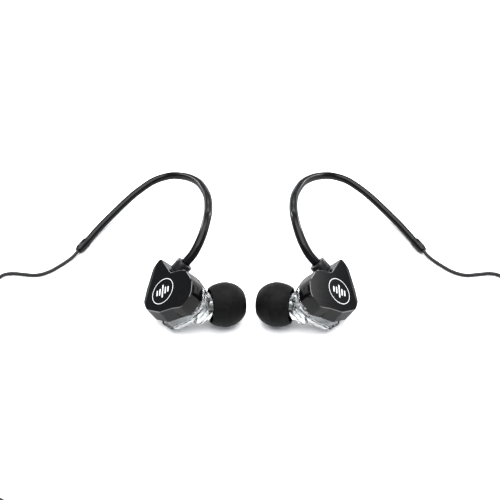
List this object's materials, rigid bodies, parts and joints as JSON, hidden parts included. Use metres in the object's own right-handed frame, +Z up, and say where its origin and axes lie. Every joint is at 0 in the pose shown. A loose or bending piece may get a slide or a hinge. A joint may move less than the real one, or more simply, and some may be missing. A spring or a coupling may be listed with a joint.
{
  "type": "in-ear monitors",
  "caption": "Pair of in-ear monitors with black and clear shells, silicone ear tips, detachable over-ear cable hooks, splitter, slider and stereo plug.",
  "frame": {"origin": "on the table under the middle of the earpieces and ear hooks", "axes": "+X from the left earpiece to the right one, +Y from the earpieces to the tops of the ear hooks, +Z up from the table"},
  "size_m": [0.1805, 0.134, 0.0215],
  "materials": {
    "black_shell": "polished",
    "badge": "satin",
    "clear_shell": "polished",
    "steel": "satin",
    "gold_contact": "polished",
    "insulator": "satin",
    "magnet": "satin",
    "diaphragm": "satin",
    "board": "satin",
    "copper_wire": "satin",
    "sound_tube": "satin",
    "ear_tip": "matte",
    "barrel": "satin",
    "hook_tube": "polished",
    "cord": "satin",
    "moulding": "satin",
    "housing": "satin"
  },
  "bodies": {
    "harness": {"left_plug_barrel": "barrel", "left_plug_pin": "gold_contact", "left_plug_insulator": "insulator", "left_ear_hook": "hook_tube", "left_hook_sleeve": "hook_tube", "left_cable": "cord", "right_plug_barrel": "barrel", "right_plug_pin": "gold_contact", "right_plug_insulator": "insulator", "right_ear_hook": "hook_tube", "right_hook_sleeve": "hook_tube", "right_cable": "cord", "y_splitter": "moulding", "main_cable": "cord", "cable_coil": "cord", "cable_tie": "moulding", "jack_cable": "cord", "jack_boot": "moulding", "jack_housing": "housing", "jack_sleeve": "gold_contact", "jack_ring": "gold_contact", "jack_tip": "gold_contact", "jack_insulators": "magnet"},
    "left_swivel_ring": {"left_snap_ring": "gold_contact"},
    "left_earpiece": {"left_faceplate": "black_shell", "left_badge": "badge", "left_inner_shell": "clear_shell", "left_nozzle_screen": "steel", "left_socket": "gold_contact", "left_socket_insulator": "insulator", "left_socket_contact": "gold_contact", "left_driver_frame": "steel", "left_driver_magnet": "magnet", "left_driver_diaphragm": "diaphragm", "left_armature_driver": "steel", "left_crossover_board": "board", "left_lead_wires": "copper_wire", "left_sound_tube": "sound_tube"},
    "left_tip": {"left_ear_tip": "ear_tip"},
    "right_swivel_ring": {"right_snap_ring": "gold_contact"},
    "right_earpiece": {"right_faceplate": "black_shell", "right_badge": "badge", "right_inner_shell": "clear_shell", "right_nozzle_screen": "steel", "right_socket": "gold_contact", "right_socket_insulator": "insulator", "right_socket_contact": "gold_contact", "right_driver_frame": "steel", "right_driver_magnet": "magnet", "right_driver_diaphragm": "diaphragm", "right_armature_driver": "steel", "right_crossover_board": "board", "right_lead_wires": "copper_wire", "right_sound_tube": "sound_tube"},
    "right_tip": {"right_ear_tip": "ear_tip"},
    "slider": {"chin_slider": "moulding"}
  },
  "joints": [
    {"name": "left_swivel", "type": "hinge", "parent": "harness", "child": "left_swivel_ring", "pos_m": [-0.02386, -0.01807, 0.01123], "axis": [0.6614, 0.4415, 0.6063], "continuous": true},
    {"name": "left_unplug", "type": "slide", "parent": "left_swivel_ring", "child": "left_earpiece", "axis": [-0.6614, -0.4415, -0.6063], "range_m": [0, 0.005]},
    {"name": "left_tip_slide", "type": "slide", "parent": "left_earpiece", "child": "left_tip", "axis": [0.966, 0.2189, -0.1375], "range_m": [0, 0.0011]},
    {"name": "right_swivel", "type": "hinge", "parent": "harness", "child": "right_swivel_ring", "pos_m": [0.02386, -0.01807, 0.01123], "axis": [-0.6614, 0.4415, 0.6063], "continuous": true},
    {"name": "right_unplug", "type": "slide", "parent": "right_swivel_ring", "child": "right_earpiece", "axis": [0.6614, -0.4415, -0.6063], "range_m": [0, 0.005]},
    {"name": "right_tip_slide", "type": "slide", "parent": "right_earpiece", "child": "right_tip", "axis": [-0.966, 0.2189, -0.1375], "range_m": [0, 0.0011]},
    {"name": "chin_slide", "type": "slide", "parent": "harness", "child": "slider", "axis": [1, 0, 0], "range_m": [0, 0.03]}
  ]
}
